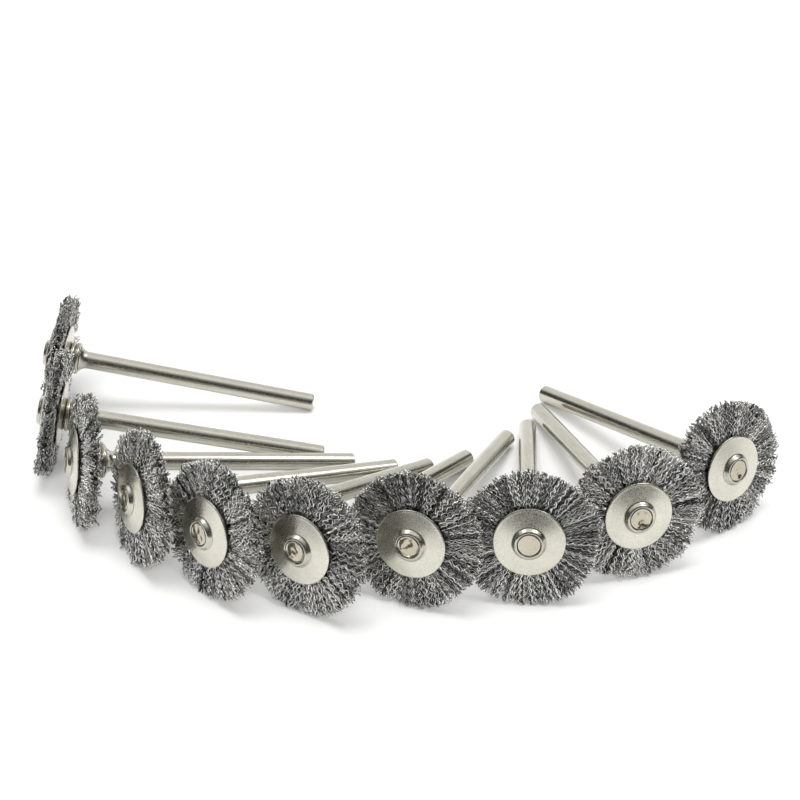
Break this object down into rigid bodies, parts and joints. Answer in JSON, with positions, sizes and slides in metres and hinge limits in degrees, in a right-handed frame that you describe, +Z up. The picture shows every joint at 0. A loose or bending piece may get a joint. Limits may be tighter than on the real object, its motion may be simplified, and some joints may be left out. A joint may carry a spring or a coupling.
{
  "type": "crimped-wire wheel brushes",
  "caption": "Small crimped steel wire wheel brushes on straight round shanks for a rotary tool, laid out in a fan so that each rests on its wheel and its shank end.",
  "frame": {"origin": "on the table plane, under the centre of the row's bounding box", "axes": "+Z up from the table; -Y towards the side that most wheel faces look at; +X towards the right-hand end of the fan as seen from -Y"},
  "size_m": [0.1234, 0.0732, 0.0207],
  "materials": {
    "nickel_steel": "nickel-plated steel, polished, with fine scratches",
    "nickel_plate": "nickel-plated stamped steel, satin",
    "plain_steel": "plain steel",
    "steel_wire": "crimped bright steel wire"
  },
  "bodies": {
    "brush_01": {"shank_01": "nickel_steel", "eyelet_01": "nickel_plate", "core_ring_01": "plain_steel", "wires_01": "steel_wire", "front_flange_01": "nickel_plate", "rear_flange_01": "nickel_plate"},
    "brush_02": {"shank_02": "nickel_steel", "eyelet_02": "nickel_plate", "core_ring_02": "plain_steel", "wires_02": "steel_wire", "front_flange_02": "nickel_plate", "rear_flange_02": "nickel_plate"},
    "brush_03": {"shank_03": "nickel_steel", "eyelet_03": "nickel_plate", "core_ring_03": "plain_steel", "wires_03": "steel_wire", "front_flange_03": "nickel_plate", "rear_flange_03": "nickel_plate"},
    "brush_04": {"shank_04": "nickel_steel", "eyelet_04": "nickel_plate", "core_ring_04": "plain_steel", "wires_04": "steel_wire", "front_flange_04": "nickel_plate", "rear_flange_04": "nickel_plate"},
    "brush_05": {"shank_05": "nickel_steel", "eyelet_05": "nickel_plate", "core_ring_05": "plain_steel", "wires_05": "steel_wire", "front_flange_05": "nickel_plate", "rear_flange_05": "nickel_plate"},
    "brush_06": {"shank_06": "nickel_steel", "eyelet_06": "nickel_plate", "core_ring_06": "plain_steel", "wires_06": "steel_wire", "front_flange_06": "nickel_plate", "rear_flange_06": "nickel_plate"},
    "brush_07": {"shank_07": "nickel_steel", "eyelet_07": "nickel_plate", "core_ring_07": "plain_steel", "wires_07": "steel_wire", "front_flange_07": "nickel_plate", "rear_flange_07": "nickel_plate"},
    "brush_08": {"shank_08": "nickel_steel", "eyelet_08": "nickel_plate", "core_ring_08": "plain_steel", "wires_08": "steel_wire", "front_flange_08": "nickel_plate", "rear_flange_08": "nickel_plate"},
    "brush_09": {"shank_09": "nickel_steel", "eyelet_09": "nickel_plate", "core_ring_09": "plain_steel", "wires_09": "steel_wire", "front_flange_09": "nickel_plate", "rear_flange_09": "nickel_plate"},
    "brush_10": {"shank_10": "nickel_steel", "eyelet_10": "nickel_plate", "core_ring_10": "plain_steel", "wires_10": "steel_wire", "front_flange_10": "nickel_plate", "rear_flange_10": "nickel_plate"}
  },
  "joints": [
    {"name": "lift_02", "type": "slide", "parent": "brush_01", "child": "brush_02", "axis": [0.1961, 0.0034, 0.9806], "range_m": [0, 0.055]},
    {"name": "lift_03", "type": "slide", "parent": "brush_01", "child": "brush_03", "axis": [0.1875, 0.0573, 0.9806], "range_m": [0, 0.03]},
    {"name": "lift_04", "type": "slide", "parent": "brush_01", "child": "brush_04", "axis": [0.1723, 0.0936, 0.9806], "range_m": [0, 0.055]},
    {"name": "lift_05", "type": "slide", "parent": "brush_01", "child": "brush_05", "axis": [0.1446, 0.1325, 0.9806], "range_m": [0, 0.03]},
    {"name": "lift_06", "type": "slide", "parent": "brush_01", "child": "brush_06", "axis": [0.1111, 0.1616, 0.9806], "range_m": [0, 0.055]},
    {"name": "lift_07", "type": "slide", "parent": "brush_01", "child": "brush_07", "axis": [0.0719, 0.1825, 0.9806], "range_m": [0, 0.03]},
    {"name": "lift_08", "type": "slide", "parent": "brush_01", "child": "brush_08", "axis": [0.0137, 0.1956, 0.9806], "range_m": [0, 0.055]},
    {"name": "lift_09", "type": "slide", "parent": "brush_01", "child": "brush_09", "axis": [-0.0491, 0.1899, 0.9806], "range_m": [0, 0.03]},
    {"name": "lift_10", "type": "slide", "parent": "brush_01", "child": "brush_10", "axis": [-0.1125, 0.1606, 0.9806], "range_m": [0, 0.055]}
  ]
}
